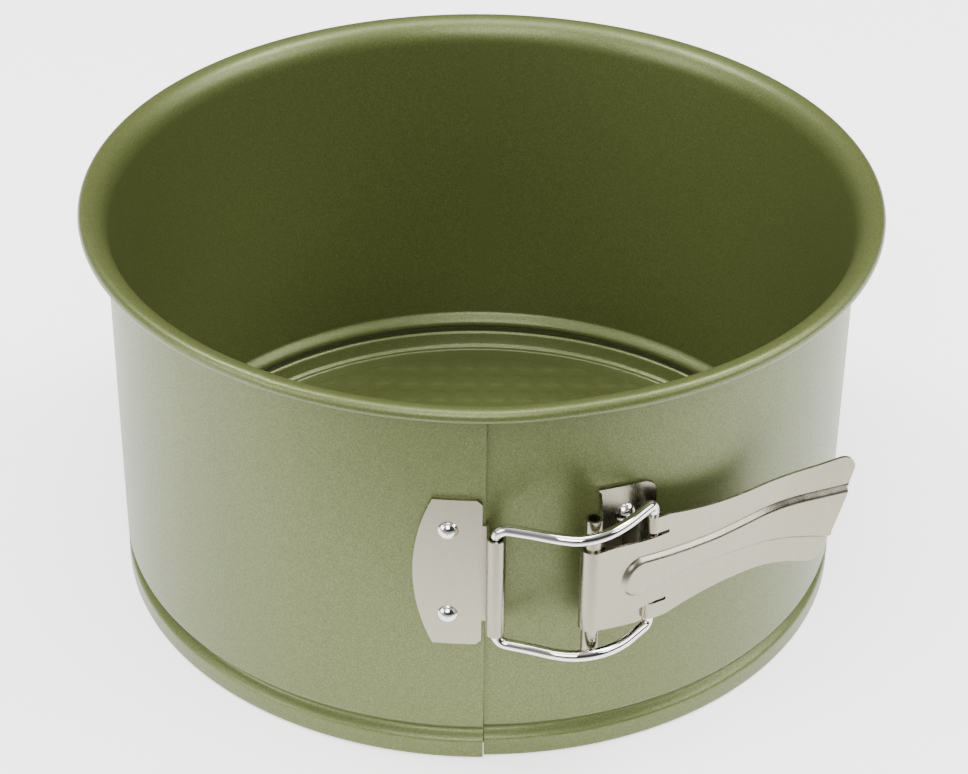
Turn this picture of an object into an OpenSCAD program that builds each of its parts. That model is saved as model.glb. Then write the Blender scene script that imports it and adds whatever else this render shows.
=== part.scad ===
// Deep round springform cake pan with a hinged over-centre latch.
// The pan's axis is Z, its underside lies on z = 0 and the latch is on the -Y side.

/* [Pan] */
// Inside diameter of the wall
pan_inner_d = 180; // [178:1:184]
// Height of the pan from its underside to the top of the rolled rim
pan_h = 102; // [98:1:115]
// Sheet thickness of the wall
wall_t = 0.6; // [0.5:0.05:0.7]
// Radius of the rolled rim
rim_roll_r = 1.8; // [1.6:0.1:2.0]
// Height of the inward bead that sits over the base
bead_z = 7.2; // [7.0:0.1:8.0]

/* [Base] */
// Sheet thickness of the base plate
base_t = 0.8; // [0.6:0.1:0.9]
// Height of the raised floor inside the plain margin
floor_h = 0.3; // [0.2:0.05:0.5]

/* [Latch] */
// Height of the middle of the latch above the underside
latch_z = 55.2; // [50:0.2:58]
// Height of the keeper plate
keeper_h = 40.1; // [38:0.5:42]
// Diameter of the bail wire
wire_d = 2.6; // [2.4:0.1:2.6]
// Diameter of the rivet heads
rivet_head_d = 4.8; // [4.2:0.2:5.2]
// Length of the lever from its hinge to its tip
lever_len = 65; // [62:1:68]
// Direction of the closed lever in plan, from +X
lever_angle = 34; // [33.5:0.5:34.5]

/* [Hidden] */
$fn = 64;
wall_r = pan_inner_d / 2 + wall_t;
lap = 0.45;
band_front = 0.9;
flare_r = 4.3;
flare_z = pan_h - rim_roll_r - flare_r + 0.1;
rim_z = pan_h - rim_roll_r;
rim_r = wall_r + flare_r + 0.2;
bead_r = 2.5;
bead_x = wall_r - wall_t / 2;
curl_r = 1.0;
curl_x = wall_r - 2.15;
curl_z = bead_z - 3.35;
plate_t = 0.8;
gap = 0.02;
left_r = wall_r + lap;
hinge_x = 25.0;
hinge_y = -(wall_r + 5.7);
keep_x = 3.8;
keep_y = -(wall_r + 6.0);
barrel_r = 2.0;
barrel_h = 18.8;
roll_bore = barrel_r + 0.06;
roll_r = roll_bore + 0.7;
roll_h = 10.8;
wire_r = wire_d / 2;
ear_bore = wire_r + 0.06;
ear_r = ear_bore + 0.7;
ear_u = 15.86;
ear_v = roll_r - ear_r - 0.12;
ear_lo = 9.9;
ear_hi = 14.6;
bend_u = 44;
bend_deg = 21;
bend_r = 36;
pivot_x = hinge_x + ear_u * cos(lever_angle) + ear_v * sin(lever_angle);
pivot_y = hinge_y + ear_u * sin(lever_angle) - ear_v * cos(lever_angle);
bail_h = 16.4;
corner_r = 1.8;
bend_wire_r = wire_r + 0.012;
lead = 0.1;
arm_in = -13.6;
arm_out = 50.8;
arm_r = 9;
arm_vx = pivot_x - keep_x + arm_r * (sin(arm_in) - sin(arm_out));
arm_vy = pivot_y - keep_y - arm_r * (cos(arm_in) - cos(arm_out));
arm_s = (arm_vx * sin(arm_out) - arm_vy * cos(arm_out)) / sin(arm_out - arm_in);
arm_t = (cos(arm_in) * arm_vy - sin(arm_in) * arm_vx) / sin(arm_out - arm_in);
arm_cx = keep_x + arm_s * cos(arm_in) - arm_r * sin(arm_in);
arm_cy = keep_y + arm_s * sin(arm_in) + arm_r * cos(arm_in);
knuckle_r = 2.15;
knuckle_bore = 1.6;
knuckle_h = 13.2;
steel = [0.72, 0.71, 0.66];
bright = [0.85, 0.85, 0.84];
coat = [0.35, 0.36, 0.26];

// Cross-section of the band, in radius and height, moved outward by off.
module band_section(off) {
  translate([off, 0]) {
    translate([wall_r - wall_t, bead_z + 1.9]) {
      square([wall_t, flare_z - bead_z - 1.9]);
    }
    translate([wall_r - wall_t, 0.3]) {
      square([wall_t, bead_z - 2.2]);
    }
    translate([wall_r - wall_t - 0.45, 0]) {
      square([wall_t + 0.45, wall_t]);
    }
    bead_section();
    flare_section();
    translate([rim_r, rim_z]) {
      difference() {
        circle(r = rim_roll_r);
        circle(r = rim_roll_r - wall_t);
      }
    }
  }
}

// Half-round bead pressed inward just above the base.
module bead_section() {
  intersection() {
    translate([bead_x, bead_z]) {
      difference() {
        circle(r = bead_r);
        circle(r = bead_r - wall_t);
      }
    }
    translate([bead_x - 4, bead_z - 4]) {
      square([4, 8]);
    }
  }
}

// Quarter-round flare from the wall up to the rolled rim.
module flare_section() {
  intersection() {
    translate([wall_r + flare_r - wall_t / 2, flare_z]) {
      difference() {
        circle(r = flare_r + wall_t / 2);
        circle(r = flare_r - wall_t / 2);
      }
    }
    translate([wall_r - wall_t, flare_z]) {
      square([flare_r - 0.6, flare_r + wall_t]);
    }
  }
}

// Hole for a rivet shank through the wall, at a bearing from the front.
module shank_hole(bearing, z) {
  rotate([0, 0, bearing]) {
    translate([0, -wall_r, z]) {
      rotate([90, 0, 0]) {
        cylinder(r = 1.22, h = 8, center = true, $fn = 32);
      }
    }
  }
}

// Round base sheet with a turned-up, curled edge and a floor raised a little inside it.
module base_plate() {
  color(coat) {
    base_dish();
  }
}

module base_dish() {
  rotate_extrude($fn = 128) {
    square([curl_x - 1.2, base_t]);
    translate([curl_x - 1.6, 0]) {
      square([0.6, curl_z]);
    }
    translate([curl_x, curl_z]) {
      difference() {
        circle(r = curl_r);
        circle(r = curl_r - 0.5);
      }
    }
    translate([curl_x - 1.6, curl_z - 0.25]) {
      square([0.85, 0.5]);
    }
    square([curl_x - 7.5, base_t + floor_h]);
  }
}

// Half of the band that carries the hinge bracket; its front end tucks behind the other half.
module band_right() {
  color(coat) {
    difference() {
      union() {
        rotate([0, 0, -90 + band_front + 0.35]) {
          rotate_extrude(angle = 180 - band_front - 0.38, $fn = 128) {
            band_section(0);
          }
        }
        rotate([0, 0, -92.4]) {
          rotate_extrude(angle = 4, $fn = 128) {
            translate([wall_r - wall_t + 0.02, bead_z + 4.3]) {
              square([wall_t - 0.04, flare_z - bead_z - 5.3]);
            }
          }
        }
      }
      shank_hole(20.8, latch_z + 12.4);
      shank_hole(20.8, latch_z - 12.4);
    }
  }
}

// Half of the band that carries the keeper; its front end lies outside the other half.
module band_left() {
  color(coat) {
    difference() {
      translate([0, -lap, 0]) {
        rotate([0, 0, 90.03]) {
          rotate_extrude(angle = 180 + band_front - 0.03, $fn = 128) {
            band_section(lap);
          }
        }
      }
      shank_hole(-4.3, latch_z + 11.7);
      shank_hole(-4.3, latch_z - 11.7);
    }
  }
}

// Keeper: a curved plate with a convex left edge, rolled into a knuckle on its right.
module keeper_plate() {
  color(steel) {
    difference() {
      union() {
        intersection() {
          translate([0, -lap, 0]) {
            difference() {
              cylinder(r = left_r + gap + plate_t, h = 90, $fn = 128);
              translate([0, 0, -1]) {
                cylinder(r = left_r + gap, h = 92, $fn = 128);
              }
            }
          }
          keeper_outline();
        }
        translate([keep_x - knuckle_r, keep_y, latch_z - knuckle_h]) {
          cube([0.65, -keep_y - left_r - lap - gap - 0.1, 2 * knuckle_h]);
        }
        translate([keep_x, keep_y, latch_z - knuckle_h]) {
          cylinder(r = knuckle_r, h = 2 * knuckle_h);
        }
      }
      translate([keep_x, keep_y, latch_z - knuckle_h - 1]) {
        cylinder(r = knuckle_bore, h = 2 * knuckle_h + 2);
      }
      shank_hole(-4.3, latch_z + 11.7);
      shank_hole(-4.3, latch_z - 11.7);
    }
  }
}

module keeper_outline() {
  sweep_r = 48;
  intersection() {
    translate([-14.8 + sweep_r, 0, latch_z]) {
      rotate([90, 0, 0]) {
        cylinder(r = sweep_r, h = 120, $fn = 128);
      }
    }
    union() {
      translate([0, 0, latch_z]) {
        rotate([90, 0, 0]) {
          linear_extrude(height = 120) {
            keeper_face();
          }
        }
      }
      translate([-5, -120, latch_z - knuckle_h]) {
        cube([keep_x - knuckle_r + 5.65, 120, 2 * knuckle_h]);
      }
    }
  }
}

// Front view of the keeper's plate, with cut corners on its right side.
module keeper_face() {
  half = keeper_h / 2;
  cut = 1.2;
  right = 0.7;
  top = [[-20, half], [right - cut, half], [right, half - cut]];
  bot = [[right, cut - half], [right - cut, -half], [-20, -half]];
  polygon(concat(top, bot));
}

// Domed rivet: shank through the plate and the wall, flat head inside.
module rivet(bearing, z, face_r, inner_r) {
  dome_h = 1.5;
  dome_r = (pow(rivet_head_d / 2, 2) + dome_h * dome_h) / (2 * dome_h);
  rotate([0, 0, bearing]) {
    translate([0, 0, z]) {
      rotate([90, 0, 0]) {
        translate([0, 0, inner_r - 0.46]) {
          cylinder(r = 2.2, h = 0.4, $fn = 48);
        }
        translate([0, 0, inner_r - 0.3]) {
          cylinder(r = 1.2, h = face_r - inner_r + 0.5, $fn = 32);
        }
        intersection() {
          translate([0, 0, face_r + dome_h - dome_r]) {
            sphere(r = dome_r, $fn = 48);
          }
          translate([0, 0, face_r]) {
            cylinder(r = 4, h = 3, $fn = 32);
          }
        }
      }
    }
  }
}

module keeper_rivet_top() {
  color(bright) {
    rivet(-4.3, latch_z + 11.7, left_r + lap + plate_t + 0.04, left_r + lap - wall_t);
  }
}

module keeper_rivet_bottom() {
  color(bright) {
    rivet(-4.3, latch_z - 11.7, left_r + lap + plate_t + 0.04, left_r + lap - wall_t);
  }
}

// Hinge bracket: a curved plate with a raised web rolled into a long hollow barrel.
module bracket() {
  color(steel) {
    difference() {
      union() {
        intersection() {
          difference() {
            cylinder(r = wall_r + gap + plate_t, h = 90, $fn = 128);
            translate([0, 0, -1]) {
              cylinder(r = wall_r + gap, h = 92, $fn = 128);
            }
          }
          bracket_outline();
        }
        difference() {
          translate([hinge_x + barrel_r - 0.65, hinge_y, latch_z - barrel_h]) {
            cube([0.65, -hinge_y - wall_r * cos(17.2) - 0.1, 2 * barrel_h]);
          }
          translate([hinge_x, hinge_y, latch_z - roll_h - 0.4]) {
            cylinder(r = roll_r + 0.5, h = 2 * roll_h + 0.8);
          }
        }
        translate([hinge_x, hinge_y, latch_z - barrel_h]) {
          cylinder(r = barrel_r, h = 2 * barrel_h);
        }
      }
      translate([hinge_x, hinge_y, latch_z - barrel_h - 1]) {
        cylinder(r = barrel_r - 0.6, h = 2 * barrel_h + 2);
      }
      shank_hole(20.8, latch_z + 12.4);
      shank_hole(20.8, latch_z - 12.4);
    }
  }
}

module bracket_outline() {
  x_lo = hinge_x + barrel_r - 0.65;
  x_hi = 39.4;
  half = 19.8;
  corner = 3.5;
  union() {
    translate([x_lo, -120, latch_z - half]) {
      cube([x_hi - corner - x_lo, 120, 2 * half]);
    }
    translate([x_lo, -120, latch_z - half + corner]) {
      cube([x_hi - x_lo, 120, 2 * (half - corner)]);
    }
    for (s = [-1, 1]) {
      translate([x_hi - corner, 0, latch_z + s * (half - corner)]) {
        rotate([90, 0, 0]) {
          cylinder(r = corner, h = 120, $fn = 48);
        }
      }
    }
  }
}

module bracket_rivet_top() {
  color(bright) {
    rivet(20.8, latch_z + 12.4, wall_r + plate_t + 0.04, wall_r - wall_t);
  }
}

module bracket_rivet_bottom() {
  color(bright) {
    rivet(20.8, latch_z - 12.4, wall_r + plate_t + 0.04, wall_r - wall_t);
  }
}

// Half-height of the lever plate at a distance u from the hinge.
function lever_half(u) = u < 40 ? 11.4 + 2.9 * pow((40 - u) / 22, 2) : 11.4 + 3.5 * pow((u - 40) / 24, 2);

// Point on the lever's outer face line, s along the sheet and w outward from the face.
function face_u(s, w) = s < bend_u ? s
  : bend_u + (bend_r - w) * sin(min(bend_deg, (s - bend_u) * 57.3 / bend_r))
    + max(0, s - bend_u - bend_r * bend_deg / 57.3) * cos(bend_deg);
function face_v(s, w) = s < bend_u ? roll_r + w
  : roll_r + bend_r - (bend_r - w) * cos(min(bend_deg, (s - bend_u) * 57.3 / bend_r))
    + max(0, s - bend_u - bend_r * bend_deg / 57.3) * sin(bend_deg);

// Plan section of the lever sheet between two distances out from its face.
module lever_section(s_lo, s_hi, w_lo, w_hi) {
  span = s_hi - s_lo;
  out = [for (i = [0 : 16]) [face_u(s_lo + span * i / 16, w_hi), -face_v(s_lo + span * i / 16, w_hi)]];
  back = [for (i = [16 : -1 : 0]) [face_u(s_lo + span * i / 16, w_lo), -face_v(s_lo + span * i / 16, w_lo)]];
  polygon(concat(out, back));
}

// Side outline of the lever behind its ears, with a slanted tip.
module lever_outline() {
  n = 16;
  top = [for (i = [0 : n]) [19 + (lever_len - 17) * i / n, lever_half(19 + (lever_len - 19) * i / n)]];
  bot = [for (i = [n : -1 : 0]) [19 + (lever_len - 23) * i / n, -lever_half(19 + (lever_len - 19) * i / n)]];
  tongue = [[ear_u, -ear_hi], [ear_u, -ear_lo], [19, -ear_lo], [19, -9], [ear_u, -9], [0, -roll_h],
    [0, roll_h], [ear_u, 9], [19, 9], [19, ear_lo], [ear_u, ear_lo], [ear_u, ear_hi]];
  polygon(concat(top, bot, tongue));
}

// Side outline of the raised panel along the lever.
module panel_outline() {
  n = 12;
  first = 11.4;
  step = (lever_len - first) / n;
  end = panel_half(first);
  top = [for (i = [0 : n]) [first + step * i, panel_half(first + step * i)]];
  bot = [for (i = [n : -1 : 0]) [first + step * i - (i == n ? 3.4 : 0), -panel_half(first + step * i)]];
  nose = [for (a = [255 : -15 : 105]) [first + end * cos(a), end * sin(a)]];
  polygon(concat(top, bot, nose));
}

function panel_half(u) = u < 32 ? 3.1 + 1.7 * pow((32 - u) / 22, 2) : 3.1 + 3.3 * pow((u - 32) / 32, 1.3);

module lever_frame() {
  translate([hinge_x, hinge_y, latch_z]) {
    rotate([0, 0, lever_angle]) {
      children();
    }
  }
}

// Lever: sheet rolled around the bracket's barrel, two ears rolled around the bail wire, bent tip.
module lever() {
  color(steel) {
    lever_frame() {
      difference() {
        union() {
          intersection() {
            linear_extrude(height = 40, center = true) {
              lever_section(0, lever_len + 6, -0.66, -0.03);
            }
            rotate([90, 0, 0]) {
              linear_extrude(height = 60, center = true) {
                lever_outline();
              }
            }
          }
          intersection() {
            linear_extrude(height = 40, center = true) {
              lever_section(2, lever_len + 4, -0.3, 0.5);
            }
            rotate([90, 0, 0]) {
              linear_extrude(height = 60, center = true) {
                panel_outline();
              }
            }
          }
          cylinder(r = roll_r, h = 2 * roll_h, center = true);
          for (s = [-1, 1]) {
            translate([ear_u, -ear_v, s * (ear_lo + ear_hi) / 2]) {
              cylinder(r = ear_r, h = ear_hi - ear_lo, center = true, $fn = 48);
            }
          }
        }
        cylinder(r = roll_bore, h = 60, center = true);
        translate([ear_u, -ear_v, 0]) {
          cylinder(r = ear_bore, h = 60, center = true, $fn = 48);
        }
      }
    }
  }
}

// A straight length of wire from the origin along a bearing in plan.
module wire_straight(bearing, len) {
  rotate([0, 0, bearing]) {
    rotate([0, 90, 0]) {
      cylinder(r = wire_r, h = len, $fn = 48);
    }
  }
}

// A quarter bend of wire between the vertical and a bearing in plan, side 1 or -1.
module wire_corner(bearing, side) {
  rotate([0, 0, bearing]) {
    translate([-side * corner_r, 0, 0]) {
      rotate([90, 0, 0]) {
        rotate([0, 0, side > 0 ? 0 : 90]) {
          rotate_extrude(angle = 90, $fn = 48) {
            translate([corner_r, 0]) {
              circle(r = bend_wire_r, $fn = 48);
            }
          }
        }
      }
    }
  }
}

// One arm of the bail, in the upper half: knuckle end, straight, bend, straight, down to the pin.
module bail_arm() {
  top = bail_h - corner_r;
  translate([keep_x, keep_y, knuckle_h + 0.3]) {
    cylinder(r = wire_r, h = top - knuckle_h - 0.3 + lead, $fn = 48);
  }
  translate([keep_x, keep_y, top]) {
    wire_corner(arm_in, -1);
  }
  translate([keep_x + (corner_r - lead) * cos(arm_in), keep_y + (corner_r - lead) * sin(arm_in), bail_h]) {
    wire_straight(arm_in, arm_s - corner_r + 2 * lead);
  }
  translate([arm_cx, arm_cy, bail_h]) {
    rotate([0, 0, arm_in - 90]) {
      rotate_extrude(angle = arm_out - arm_in, $fn = 96) {
        translate([arm_r, 0]) {
          circle(r = bend_wire_r, $fn = 48);
        }
      }
    }
  }
  translate([pivot_x - (arm_t + lead) * cos(arm_out), pivot_y - (arm_t + lead) * sin(arm_out), bail_h]) {
    wire_straight(arm_out, arm_t - corner_r + 2 * lead);
  }
  translate([pivot_x, pivot_y, top]) {
    wire_corner(arm_out, 1);
  }
}

// Bail: a wire loop that crosses outside the hinge barrel; its ends stop at the keeper's knuckle.
module bail_wire() {
  color(bright) {
    translate([0, 0, latch_z]) {
      bail_arm();
      mirror([0, 0, 1]) {
        bail_arm();
      }
      translate([pivot_x, pivot_y, corner_r - bail_h - lead]) {
        cylinder(r = wire_r, h = 2 * (bail_h - corner_r + lead), $fn = 48);
      }
    }
  }
}

base_plate();
band_right();
band_left();
keeper_plate();
keeper_rivet_top();
keeper_rivet_bottom();
bracket();
bracket_rivet_top();
bracket_rivet_bottom();
lever();
bail_wire();
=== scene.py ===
import math
import bmesh
import bpy
from mathutils import Euler, Matrix, Vector


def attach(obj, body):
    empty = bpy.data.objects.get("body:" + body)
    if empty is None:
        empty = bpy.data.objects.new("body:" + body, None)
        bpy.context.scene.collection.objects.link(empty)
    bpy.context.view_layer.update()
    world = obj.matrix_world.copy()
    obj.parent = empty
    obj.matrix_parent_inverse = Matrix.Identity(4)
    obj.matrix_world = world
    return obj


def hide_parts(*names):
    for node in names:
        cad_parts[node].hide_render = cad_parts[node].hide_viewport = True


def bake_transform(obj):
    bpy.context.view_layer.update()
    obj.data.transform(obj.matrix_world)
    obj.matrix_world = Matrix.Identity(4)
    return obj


# Sizes are in millimetres, as in the CAD source, and angles in degrees. Azimuth 0 is the latch's
# side (-Y) and grows towards +X. Meshes are scaled to metres when they are made.
MM = 0.001

# the band and its rim
WALL_R = 90.6           # outside of the wall
WALL_T = 0.6            # sheet thickness
LAP = 0.45              # the left half is this much wider, and sits this much further forward
BEAD_Z = 7.2            # height of the bead over the base's curl
BEAD_DEPTH, BEAD_BELOW, BEAD_ABOVE = 2.2, 2.4, 3.3
FLARE_Z = 95.5          # where the wall starts to flare
FLARE_W, FLARE_H = 4.8, 6.2
RIM_Z = 100.2           # middle of the rim's curl
RIM_R = 95.1
CURL_R = 1.5
RIM_END = -29.0         # azimuth where the right half's rim ends
RIM_GROWTH = 1.05       # how much the right half's rim widens there
SEAM_RIGHT = 1.05       # azimuth where the right half's visible wall starts
SEAM_LEFT = 0.9         # azimuth where the left half's outer end stops
TAB_END = -2.4          # azimuth where the tucked-in end stops

# the base
FLOOR_Z = 0.8
FLOOR_R = 84.2
WAFFLE_R = 80.5         # where the waffle pattern stops
PITCH = 8.0             # from one raised square to the next
PAD_H = 0.26            # their height

# the latch
LATCH_Z = 55.2          # middle of the latch
HINGE = (25.0, -96.3)   # the lever's axis
KEEP = (3.8, -96.6)     # the keeper's knuckle
LEVER_DEG = 34.0        # the closed lever's direction
ROLL_R = 2.76           # outside of the lever's roll around the barrel
ROLL_H = 10.8           # half its height
EAR_U = 15.86           # the bail's axis, along and across the lever
EAR_V = 0.58
EAR_TOP = 15.1          # where the wire bends into the ears, from the latch's middle
LEVER_LEN = 65.0
BEND_U, BEND_DEG, BEND_R = 44.0, 21.0, 36.0
WIRE_R = 1.3
PANEL_RISE, PANEL_SLOPE = 1.1, 1.6
SHEET = 0.66            # the lever's sheet thickness

# linear colours
COAT_PLAIN = (0.2, 0.21, 0.12)  # the socket's own value, which the speckle takes the place of
COAT_DARK = (0.062, 0.077, 0.017)
COAT_MID = (0.083, 0.1, 0.027)
COAT_LIGHT = (0.122, 0.141, 0.05)
NICKEL = (0.265, 0.25, 0.192)
CHROME = (0.68, 0.67, 0.63)
PAPER = 0.94

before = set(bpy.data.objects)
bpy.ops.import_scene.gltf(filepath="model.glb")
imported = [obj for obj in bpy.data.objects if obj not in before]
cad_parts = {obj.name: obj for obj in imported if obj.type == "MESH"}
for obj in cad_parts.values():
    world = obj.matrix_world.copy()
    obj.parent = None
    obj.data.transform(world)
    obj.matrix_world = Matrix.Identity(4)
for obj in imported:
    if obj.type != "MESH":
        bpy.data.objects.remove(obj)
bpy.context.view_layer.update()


# ---------- camera ----------
def make_camera():
    cam = bpy.data.cameras.new("camera")
    cam.sensor_fit = "HORIZONTAL"
    cam.sensor_width = 36.0
    cam.lens = 98.9
    cam.shift_x = 0.0034
    cam.shift_y = 0.0107
    cam.clip_start = 0.01
    ob = bpy.data.objects.new("camera", cam)
    bpy.context.scene.collection.objects.link(ob)
    down, roll = 33.839, 0.669
    look = Euler((math.radians(90 - down), 0, 0)).to_matrix()
    turn = look @ Matrix.Rotation(math.radians(roll), 3, "Z")
    ob.matrix_world = Matrix.Translation((0, -0.5622, 0.4176)) @ turn.to_4x4()
    bpy.context.scene.camera = ob


make_camera()


# ---------- mesh helpers ----------
def new_mesh(name, verts, faces, look, rounded=True):
    me = bpy.data.meshes.new(name)
    me.from_pydata([(x * MM, y * MM, z * MM) for x, y, z in verts], [], faces)
    me.validate()
    me.update()
    if rounded:
        me.polygons.foreach_set("use_smooth", [True] * len(me.polygons))
    ob = bpy.data.objects.new(name, me)
    bpy.context.scene.collection.objects.link(ob)
    me.materials.append(look)
    return ob


def grid_faces(rows, cols, wrap=False):
    """Quads between rows of points; wrap joins the last column to the first."""
    out = []
    for i in range(rows - 1):
        low, high = i * cols, (i + 1) * cols
        for j in range(cols if wrap else cols - 1):
            k = (j + 1) % cols
            out.append((low + j, low + k, high + k, high + j))
    return out


def at(az, rho, cy=0.0):
    """The point at an azimuth and a radius, round an axis moved by cy along Y."""
    a = math.radians(az)
    return rho * math.sin(a), cy - rho * math.cos(a)


def thick_outline(path, t):
    """Closed outline of a sheet of thickness t along an open path of points."""
    n = len(path)
    left, right = [], []
    for i, (x, y) in enumerate(path):
        x0, y0 = path[max(0, i - 1)]
        x1, y1 = path[min(n - 1, i + 1)]
        d = math.hypot(x1 - x0, y1 - y0)
        nx, ny = -(y1 - y0) / d * t / 2, (x1 - x0) / d * t / 2
        left.append((x + nx, y + ny))
        right.append((x - nx, y - ny))
    return left + right[::-1]


def revolve(name, outline, az0, az1, steps, cy=0.0, off=0.0, caps=(True, True)):
    """Sweeps a closed sheet outline round the Z axis; caps have their own flat-shaded corners.

    off is added to every radius: a number, or a function of the azimuth and the height.
    """
    def radius(az, rho, z):
        return rho + (off(az, z) if callable(off) else off)

    def ring(az):
        return [(*at(az, radius(az, rho, z), cy), z) for rho, z in outline]

    verts = [p for i in range(steps + 1) for p in ring(az0 + (az1 - az0) * i / steps)]
    m = len(outline)
    faces = grid_faces(steps + 1, m, wrap=True)
    flat = len(faces)
    for wanted, az, flip in ((caps[0], az0, False), (caps[1], az1, True)):
        if wanted:
            base = len(verts)
            verts += ring(az)
            for j in range(m // 2 - 1):
                f = (base + j, base + m - 1 - j, base + m - 2 - j, base + j + 1)
                faces.append(f[::-1] if flip else f)
    ob = new_mesh(name, verts, faces, coat)
    for poly in ob.data.polygons[flat:]:
        poly.use_smooth = False
    return ob


def tube(points, radius, sides):
    """Verts and faces of a round wire along 3-D points, with closed ends."""
    pts = [Vector(p) for p in points]
    verts = []
    side = None
    for i, p in enumerate(pts):
        d = (pts[min(i + 1, len(pts) - 1)] - pts[max(i - 1, 0)]).normalized()
        if side is None:
            side = d.orthogonal().normalized()
        side = (side - d * side.dot(d)).normalized()
        up = d.cross(side)
        for k in range(sides):
            a = 2 * math.pi * k / sides
            verts.append(tuple(p + (side * math.cos(a) + up * math.sin(a)) * radius))
    faces = grid_faces(len(pts), sides, wrap=True)
    faces.append(tuple(range(sides))[::-1])
    last = (len(pts) - 1) * sides
    faces.append(tuple(range(last, last + sides)))
    return verts, faces


def add_part(verts, faces, more_verts, more_faces):
    """Adds a block of points and faces to a mesh that is being put together."""
    base = len(verts)
    verts.extend(more_verts)
    faces.extend(tuple(base + k for k in f) for f in more_faces)


def arc(cx, cy, r, a0, a1, n):
    """Points round a centre, n steps from angle a0 to angle a1."""
    turns = [math.radians(a0 + (a1 - a0) * i / n) for i in range(n + 1)]
    return [(cx + r * math.cos(a), cy + r * math.sin(a)) for a in turns]


def smooth(x):
    """Eases from 0 to 1 as x does."""
    x = max(0.0, min(1.0, x))
    return x * x * (3 - 2 * x)


# ---------- materials ----------
def material(name, color, metallic, rough):
    m = bpy.data.materials.new(name)
    m.use_nodes = True
    b = m.node_tree.nodes["Principled BSDF"]
    b.inputs["Base Color"].default_value = (*color, 1)
    b.inputs["Metallic"].default_value = metallic
    b.inputs["Roughness"].default_value = rough
    return m, m.node_tree, b


def node(tree, kind, **values):
    n = tree.nodes.new(kind)
    for k, v in values.items():
        n.inputs[k].default_value = v
    return n


def ramp(tree, source, stops):
    r = tree.nodes.new("ShaderNodeValToRGB")
    while len(r.color_ramp.elements) < len(stops):
        r.color_ramp.elements.new(0.5)
    for e, (pos, col) in zip(r.color_ramp.elements, stops):
        e.position = pos
        e.color = (*col, 1)
    tree.links.new(source, r.inputs[0])
    return r


def map_range(tree, source, low, high, to_low, to_high):
    limits = {"From Min": low, "From Max": high, "To Min": to_low, "To Max": to_high}
    n = node(tree, "ShaderNodeMapRange", **limits)
    tree.links.new(source, n.inputs["Value"])
    return n


def add_bump(tree, source, shader, strength, distance):
    bump = node(tree, "ShaderNodeBump", Strength=strength, Distance=distance)
    tree.links.new(source, bump.inputs["Height"])
    tree.links.new(bump.outputs[0], shader.inputs["Normal"])


def coat_material():
    """Olive metallic non-stick coating: two sizes of speckle that also vary gloss and height."""
    m, t, b = material("olive_coating", COAT_PLAIN, 0.45, 0.4)
    co = t.nodes.new("ShaderNodeTexCoord")
    fine = node(t, "ShaderNodeTexNoise", Scale=5200.0, Detail=1.0, Roughness=0.5)
    coarse = node(t, "ShaderNodeTexNoise", Scale=2400.0, Detail=2.0, Roughness=0.5)
    for n in (fine, coarse):
        t.links.new(co.outputs["Object"], n.inputs["Vector"])
    fine_share = 0.55
    part = t.nodes.new("ShaderNodeMath")
    part.operation = "MULTIPLY"
    part.inputs[1].default_value = 1 - fine_share
    t.links.new(coarse.outputs["Fac"], part.inputs[0])
    speckle = t.nodes.new("ShaderNodeMath")
    speckle.operation = "MULTIPLY_ADD"
    speckle.inputs[1].default_value = fine_share
    t.links.new(fine.outputs["Fac"], speckle.inputs[0])
    t.links.new(part.outputs[0], speckle.inputs[2])
    tint = ramp(t, speckle.outputs[0], [(0.36, COAT_DARK), (0.5, COAT_MID), (0.64, COAT_LIGHT)])
    t.links.new(tint.outputs[0], b.inputs["Base Color"])
    gloss = map_range(t, speckle.outputs[0], 0.35, 0.65, 0.46, 0.34)
    t.links.new(gloss.outputs[0], b.inputs["Roughness"])
    add_bump(t, speckle.outputs[0], b, 0.35, 0.0001)
    b.inputs["Coat Weight"].default_value = 0.05
    b.inputs["Coat Roughness"].default_value = 0.2
    return m


def plated_material(name, color, rough, stretch):
    """Plated steel: faint drawn lines along one direction and slightly uneven polish."""
    m, t, b = material(name, color, 1.0, rough)
    co = t.nodes.new("ShaderNodeTexCoord")
    mp = t.nodes.new("ShaderNodeMapping")
    mp.inputs["Scale"].default_value = stretch
    t.links.new(co.outputs["Object"], mp.inputs["Vector"])
    lines = node(t, "ShaderNodeTexNoise", Scale=300.0, Detail=5.0, Roughness=0.6)
    t.links.new(mp.outputs[0], lines.inputs["Vector"])
    polish = map_range(t, lines.outputs["Fac"], 0.3, 0.7, rough * 0.8, rough * 1.25)
    t.links.new(polish.outputs[0], b.inputs["Roughness"])
    dull = tuple(c * 0.94 for c in color)
    tint = ramp(t, lines.outputs["Fac"], [(0.3, dull), (0.7, color)])
    t.links.new(tint.outputs[0], b.inputs["Base Color"])
    add_bump(t, lines.outputs["Fac"], b, 0.06, 0.00005)
    return m


coat = coat_material()
nickel = plated_material("nickel_plate", NICKEL, 0.26, (1, 1, 0.15))
chrome = plated_material("bright_wire", CHROME, 0.07, (1, 1, 1))


# ---------- the band ----------
def band_path():
    """Middle line of the band's sheet, in radius and height, from lower lip to rim curl."""
    mid = WALL_R - WALL_T / 2
    lip_r, lip_z = 0.62, 0.92
    pts = arc(mid - lip_r, lip_z, lip_r, -88, 0, 6)
    z, step = 1.2, 0.22
    while z < 12.0:
        k = (z - BEAD_Z) / (BEAD_BELOW if z < BEAD_Z else BEAD_ABOVE)
        push = BEAD_DEPTH * math.cos(math.pi / 2 * k) ** 2 if abs(k) < 1 else 0
        pts.append((mid - push, z))
        z += step
    low, high = 13.0, FLARE_Z - 0.1
    pts += [(mid, low + (high - low) * i / 11) for i in range(12)]
    for i in range(1, 15):
        a = math.radians(90 * i / 14)
        pts.append((RIM_R - FLARE_W * math.cos(a), FLARE_Z + FLARE_H * math.sin(a)))
    return pts + arc(RIM_R, RIM_Z, CURL_R, 84, -230, 26)


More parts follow.
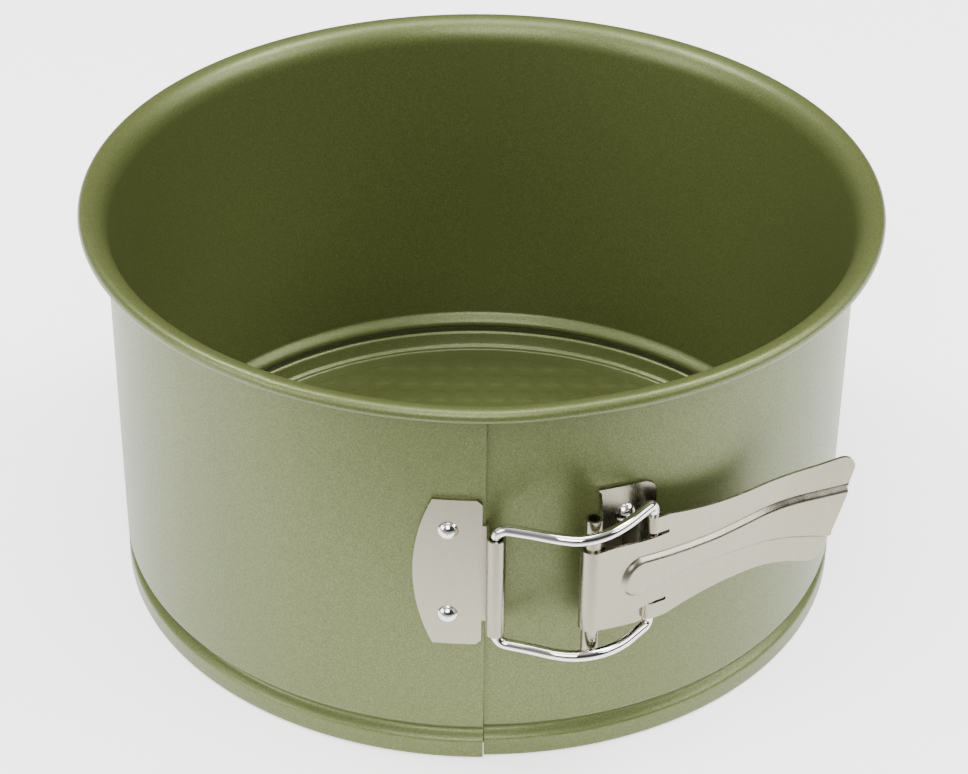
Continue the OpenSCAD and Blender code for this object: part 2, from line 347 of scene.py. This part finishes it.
def rim_growth(az, z):
    """The right half's rim widens towards its end, to wrap over the left half's rim."""
    return RIM_GROWTH * smooth((18.0 - az) / 18.0) * smooth((z - 97.0) / 3.0)


def make_band():
    path = band_path()
    rim_from, wall_to = 95.0, 96.8
    top = path.index(max(path, key=lambda p: p[1]))
    whole = thick_outline(path, WALL_T)
    rim = thick_outline([p for p in path if p[1] > rim_from], WALL_T)
    wall = thick_outline([p for p in path[:top] if p[1] < wall_to], WALL_T)
    tab_r, tab_low, tab_tall = WALL_R - WALL_T / 2, 11.6, 83.0
    tab = thick_outline([(tab_r, tab_low + tab_tall * i / 20) for i in range(21)], WALL_T)

    ends = {"off": rim_growth, "caps": (True, False)}
    right = revolve("band_right_skin", whole, SEAM_RIGHT, 180.0, 300, **ends)
    right_rim = revolve("band_rim_end", rim, RIM_END, SEAM_RIGHT, 60, **ends)
    right_tab = revolve("band_tab", tab, TAB_END, SEAM_RIGHT, 12)
    ends = {"cy": -LAP, "off": LAP, "caps": (False, True)}
    left = revolve("band_left_skin", whole, -180.0, RIM_END, 270, **ends)
    left_end = revolve("band_left_end", wall, RIM_END, SEAM_LEFT, 60, **ends)

    for ob in (right, right_rim, right_tab):
        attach(ob, "ring")
    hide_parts("band_right")
    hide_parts("band_left")
    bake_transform(left)
    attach(left_end, "ring_left")


make_band()


# ---------- the base ----------
def waffle_height(x, y):
    """Height of the floor's pattern: rounded raised squares inside a plain margin."""
    edge, slope = 0.84, 0.5
    pad = 1.0
    for place in (x, y):
        across = abs((place / PITCH) % 1 - 0.5) * 2
        pad *= smooth((edge - across) / slope)
    margin = smooth((WAFFLE_R - math.hypot(x, y)) / 1.2)
    return (0.1 + PAD_H * pad) * margin


def base_rim_path():
    """Middle line of the base's turned-up edge, in radius and height, from floor to curl."""
    sink = 0.25
    path = [(84.0, FLOOR_Z - sink), (85.2, FLOOR_Z - sink)]
    for r, z in arc(85.6, 2.0, 1.2, -90, -20, 6):
        path.append((r, z - sink) if r < 86 else (r, z))
    return path + [(87.15, 2.6)] + arc(88.45, 3.85, 0.8, 170, -150, 20)


def base_floor():
    """A closed disc: rings of points for the waffle floor, a straight edge and a flat underside."""
    rings, spokes = 168, 512
    turns = [2 * math.pi * j / spokes for j in range(spokes)]
    verts = []
    for i in range(rings + 1):
        r = FLOOR_R * i / rings
        for a in turns:
            x, y = r * math.cos(a), r * math.sin(a)
            verts.append((x, y, FLOOR_Z + waffle_height(x, y)))
    faces = grid_faces(rings + 1, spokes, wrap=True)
    edge, under = rings * spokes, len(verts)
    verts += [(FLOOR_R * math.cos(a), FLOOR_R * math.sin(a), 0.0) for a in turns]
    for j in range(spokes):
        k = (j + 1) % spokes
        faces.append((under + j, under + k, edge + k, edge + j))
    faces.append(tuple(range(under, under + spokes))[::-1])
    return new_mesh("base_floor", verts, faces, coat)


def make_base():
    rim_outline = thick_outline(base_rim_path(), 0.5)
    rim = revolve("base_rim", rim_outline, -180, 180, 256, caps=(False, False))
    disc = base_floor()
    for ob in (rim, disc):
        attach(ob, "base")
    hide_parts("base_plate")


make_base()


# ---------- the bail ----------
def lever_xy(u, v):
    """The point u along the closed lever from the hinge and v outward of it."""
    a = math.radians(LEVER_DEG)
    x = HINGE[0] + u * math.cos(a) + v * math.sin(a)
    y = HINGE[1] + u * math.sin(a) - v * math.cos(a)
    return x, y


def catmull(pts, steps):
    """Smooth curve through 3-D points."""
    ext = [pts[0]] + pts + [pts[-1]]
    out = []
    for i in range(1, len(ext) - 2):
        p0, p1, p2, p3 = (Vector(p) for p in ext[i - 1:i + 3])
        for k in range(steps):
            t = k / steps
            out.append(0.5 * (2 * p1 + (p2 - p0) * t + (2 * p0 - 5 * p1 + 4 * p2 - p3) * t * t
                              + (3 * p1 - p0 - 3 * p2 + p3) * t ** 3))
    return out + [Vector(pts[-1])]


def wire_bend(x, y, z, towards, radius, steps):
    """Quarter bend of the wire: from straight up at x, y, z to level along towards."""
    out = []
    for i in range(steps + 1):
        a = math.radians(90 * i / steps)
        d = radius * (1 - math.cos(a))
        out.append((x + d * towards[0], y + d * towards[1], z + radius * math.sin(a)))
    return out


def bail_arm():
    """Upper arm of the bail: up out of the knuckle, round the latch and down into the ears."""
    leaving = math.radians(-14.0)
    rise = wire_bend(*KEEP, 13.0, (math.cos(leaving), math.sin(leaving)), 2.9, 12)
    ways = [rise[-1], (11.7, -98.7, 16.0), (17.7, -100.5, 16.1), (22.4, -100.9, 16.1),
            (27.6, -99.2, 16.4), (32.3, -95.6, 16.8), (36.4, -90.6, 16.9)]
    way = catmull(ways, 8)
    px, py = lever_xy(EAR_U, EAR_V)
    back = Vector((ways[-1][0] - px, ways[-1][1] - py)).normalized()
    end = wire_bend(px, py, EAR_TOP, back, 1.8, 10)[::-1]
    return [(*KEEP, 12.4)] + rise + [tuple(w) for w in way[1:-1]] + end


def make_bail():
    px, py = lever_xy(EAR_U, EAR_V)
    half = bail_arm() + [(px, py, EAR_TOP * (1 - i / 6)) for i in range(1, 6)]
    full = half + [(px, py, 0.0)] + [(x, y, -z) for x, y, z in half[::-1]]
    verts, faces = tube([(x, y, z + LATCH_Z) for x, y, z in full], WIRE_R, 28)
    ob = new_mesh("bail_loop", verts, faces, chrome)
    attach(ob, "bail")
    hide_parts("bail_wire")


make_bail()


# ---------- the lever ----------
# s runs along the sheet from the hinge, h up and down from the latch's middle.
FACE_V = ROLL_R - SHEET / 2     # middle of the flat sheet, outward of the hinge
TONGUE_END = 19.0               # where the slits beside the ears stop
TONGUE_H = 9.0                  # half the tongue's height there
EAR_H = 9.9                     # inner edge of the ears


def lever_half(s):
    """Half the lever's height: a waist, growing to both ends."""
    waist, low = 40, 11.4
    if s < waist:
        return low + 2.9 * ((waist - s) / 22) ** 2
    return low + 3.5 * ((s - waist) / 24) ** 2


def panel_half(s):
    """Half the raised panel's height, with a waist of its own."""
    waist, low = 32, 3.1
    if s < waist:
        return low + 1.7 * ((waist - s) / 22) ** 2
    return low + 3.3 * ((s - waist) / 32) ** 1.3


def emboss(s, h):
    """Outward height of the raised panel."""
    start = 11.4
    if s < start:
        edge = panel_half(start) - math.hypot(s - start, h)
    else:
        edge = panel_half(s) - abs(h)
    return PANEL_RISE * smooth((edge + PANEL_SLOPE / 2) / PANEL_SLOPE)


def sheet_vert(u, v, h):
    return (*lever_xy(u, v), LATCH_Z + h)


def face_vert(s, h):
    """A point of the lever's face, which bends away from the pan's wall near the tip."""
    out = emboss(s, h)
    bend = max(0.0, min(math.radians(BEND_DEG), (s - BEND_U) / BEND_R))
    rest = max(0.0, s - BEND_U - BEND_R * math.radians(BEND_DEG))
    u = min(s, BEND_U) + (BEND_R - out) * math.sin(bend) + rest * math.cos(bend)
    v = FACE_V + BEND_R - (BEND_R - out) * math.cos(bend) + rest * math.sin(bend)
    return sheet_vert(u, v, h)


def lever_face(lines):
    """The broad part, from the slits to the slanted tip with its rounded corners."""
    rows, corner = 170, 4.2
    points = []
    for i in range(rows + 1):
        for h in lines:
            f = h / lever_half(TONGUE_END)
            end = LEVER_LEN + 3.2 * f
            s = TONGUE_END + (end - TONGUE_END) * (1 - (1 - i / rows) ** 1.15)
            half = lever_half(s)
            left = end - s
            if left < corner:
                half -= corner - math.sqrt(max(0.0, corner ** 2 - (corner - left) ** 2))
            points.append(face_vert(s, f * half))
    return points, grid_faces(rows + 1, len(lines))


def lever_tongue(lines):
    """The middle strip between the slits, and its roll around the hinge's barrel."""
    flat, roll = 60, 30
    points = []
    for i in range(flat + 1):
        u = TONGUE_END * (1 - i / flat)
        half = ROLL_H + (TONGUE_H - ROLL_H) * smooth(u / 16)
        for h in lines:
            hh = h / TONGUE_H * half
            points.append(sheet_vert(u, FACE_V + emboss(u, hh), hh))
    for u, v in arc(0, 0, FACE_V, 90, 395, roll)[1:]:
        points += [sheet_vert(u, v, h / TONGUE_H * ROLL_H) for h in lines]
    return points, grid_faces(flat + roll + 1, len(lines))


def lever_ear(lines):
    """One outer strip, rolled around the bail's wire."""
    r = 1.36 + SHEET / 2
    path = []
    for i in range(7):
        v = FACE_V + (EAR_V + r - FACE_V) * smooth(i / 6)
        path.append((TONGUE_END - (TONGUE_END - EAR_U) * i / 6, v))
    path += arc(EAR_U, EAR_V, r, 90, 390, 26)[1:]
    return [sheet_vert(u, v, h) for u, v in path for h in lines], grid_faces(len(path), len(lines))


def make_lever():
    half = lever_half(TONGUE_END)
    inner = [TONGUE_H * (-1 + 2 * j / 96) for j in range(97)]
    outer = [EAR_H + (half - EAR_H) * j / 8 for j in range(9)]
    verts, faces = [], []
    add_part(verts, faces, *lever_face([-h for h in outer[::-1]] + inner + outer))
    add_part(verts, faces, *lever_tongue(inner))
    for sign in (1, -1):
        add_part(verts, faces, *lever_ear([sign * h for h in outer]))
    ob = new_mesh("lever_sheet", verts, faces, nickel)
    thicken(ob)
    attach(ob, "lever")
    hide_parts("lever")


def thicken(ob):
    """Welds the sheet's blocks, gives it thickness about its middle and breaks its edges."""
    bm = bmesh.new()
    bm.from_mesh(ob.data)
    bmesh.ops.remove_doubles(bm, verts=bm.verts, dist=0.00002)
    bmesh.ops.recalc_face_normals(bm, faces=bm.faces)
    bm.to_mesh(ob.data)
    bm.free()
    ob.data.polygons.foreach_set("use_smooth", [True] * len(ob.data.polygons))
    so = ob.modifiers.new("thickness", "SOLIDIFY")
    so.thickness = SHEET * MM
    so.offset = 0
    so.use_even_offset = False
    be = ob.modifiers.new("edges", "BEVEL")
    be.width = 0.00014
    be.segments = 2
    be.limit_method = "ANGLE"
    be.angle_limit = math.radians(50)
    be.harden_normals = True


make_lever()


# ---------- the CAD pieces that stay ----------
def finish_cad_nodes():
    looks = {name: nickel for name in ("keeper_plate", "bracket")}
    for plate in ("keeper", "bracket"):
        for end in ("top", "bottom"):
            looks[plate + "_rivet_" + end] = chrome
    for name, look in looks.items():
        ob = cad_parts[name]
        ob.data.materials.clear()
        ob.data.materials.append(look)


finish_cad_nodes()


# ---------- floor and light ----------
def grey(v):
    return (v, v, v)


def make_stage():
    """White paper that glows, with painted shade: its colour and glow are dimmed where it lies in
    front of the object and below the picture.
    """
    m, t, b = material("paper", grey(PAPER), 0.0, 0.7)
    co = t.nodes.new("ShaderNodeTexCoord")
    sep = t.nodes.new("ShaderNodeSeparateXYZ")
    t.links.new(co.outputs["Object"], sep.inputs[0])
    # painted shade: the paper's colour and glow fade towards dark on the floor in front of the
    # object
    painted_shade_mask = map_range(t, sep.outputs["Y"], -0.27, -0.12, 0.0, 1.0)
    painted_shade_mask.interpolation_type = "SMOOTHSTEP"
    paper = ramp(t, painted_shade_mask.outputs[0], [(0.0, grey(0.15)), (1.0, grey(PAPER))])
    glow_with_painted_shade = ramp(t, painted_shade_mask.outputs[0], [(0.0, grey(0.03)), (1.0, grey(1.0))])
    t.links.new(paper.outputs[0], b.inputs["Base Color"])
    t.links.new(glow_with_painted_shade.outputs[0], b.inputs["Emission Color"])
    b.inputs["Emission Strength"].default_value = 1.1
    reach, below = 3000, -0.2
    corners = [(-reach, -reach), (reach, -reach), (reach, reach), (-reach, reach)]
    verts = [(x, y, below) for x, y in corners]
    ob = new_mesh("floor", verts, [(0, 1, 2, 3)], m, rounded=False)


def area(name, loc, target, size, power, size_y=None):
    """An area light of some watts at loc, facing target, in metres."""
    li = bpy.data.lights.new(name, "AREA")
    li.energy = power
    li.size = size
    if size_y:
        li.shape = "RECTANGLE"
        li.size_y = size_y
    ob = bpy.data.objects.new(name, li)
    bpy.context.scene.collection.objects.link(ob)
    ob.location = loc
    ob.rotation_euler = (Vector(target) - Vector(loc)).to_track_quat("-Z", "Y").to_euler()


def world_gradient(w):
    """Studio surroundings: brighter to the left and straight above, dim elsewhere."""
    t = w.node_tree
    bg = t.nodes["Background"]
    co = t.nodes.new("ShaderNodeTexCoord")
    sep = t.nodes.new("ShaderNodeSeparateXYZ")
    t.links.new(co.outputs["Generated"], sep.inputs[0])
    shift = map_range(t, sep.outputs["X"], -1, 1, 0.0, 1.0)
    side = ramp(t, shift.outputs[0], [(pos, grey(v)) for pos, v in WORLD_SIDE])
    up = ramp(t, sep.outputs["Z"], [(pos, grey(v)) for pos, v in WORLD_UP])
    mix = t.nodes.new("ShaderNodeMix")
    mix.data_type = "RGBA"
    mix.blend_type = "ADD"
    mix.inputs[0].default_value = 1.0
    t.links.new(side.outputs[0], mix.inputs[6])
    t.links.new(up.outputs[0], mix.inputs[7])
    t.links.new(mix.outputs[2], bg.inputs["Color"])
    bg.inputs["Strength"].default_value = 1.0


# brightness from -X to +X, and from the horizon up
WORLD_SIDE = [(0.0, 0.32), (0.22, 0.36), (0.42, 0.08), (0.62, 0.03), (0.8, 0.04), (1.0, 0.05)]
WORLD_UP = [(0.0, 0.02), (0.6, 0.05), (0.92, 0.9)]


def make_light():
    w = bpy.data.worlds.new("studio")
    bpy.context.scene.world = w
    w.use_nodes = True
    world_gradient(w)
    area("left_box", (-1.3, -0.7, 0.6), (0, 0, 0.05), 0.9, 17)
    area("upper_left", (-0.75, 0.18, 1.3), (0, 0, 0.1), 0.4, 18)
    area("upper_right", (0.75, 0.18, 1.3), (0, 0, 0.1), 0.4, 18)
    area("front_fill", (-0.1, -1.3, 1.1), (0, 0, 0.08), 0.9, 26)
    area("right_strip", (1.18, -0.15, 0.83), (0.06, -0.07, 0.055), 1.1, 15, 0.5)
    area("overhead", (0.0, -0.12, 1.6), (0, 0, 0.05), 0.7, 16)


make_stage()
make_light()
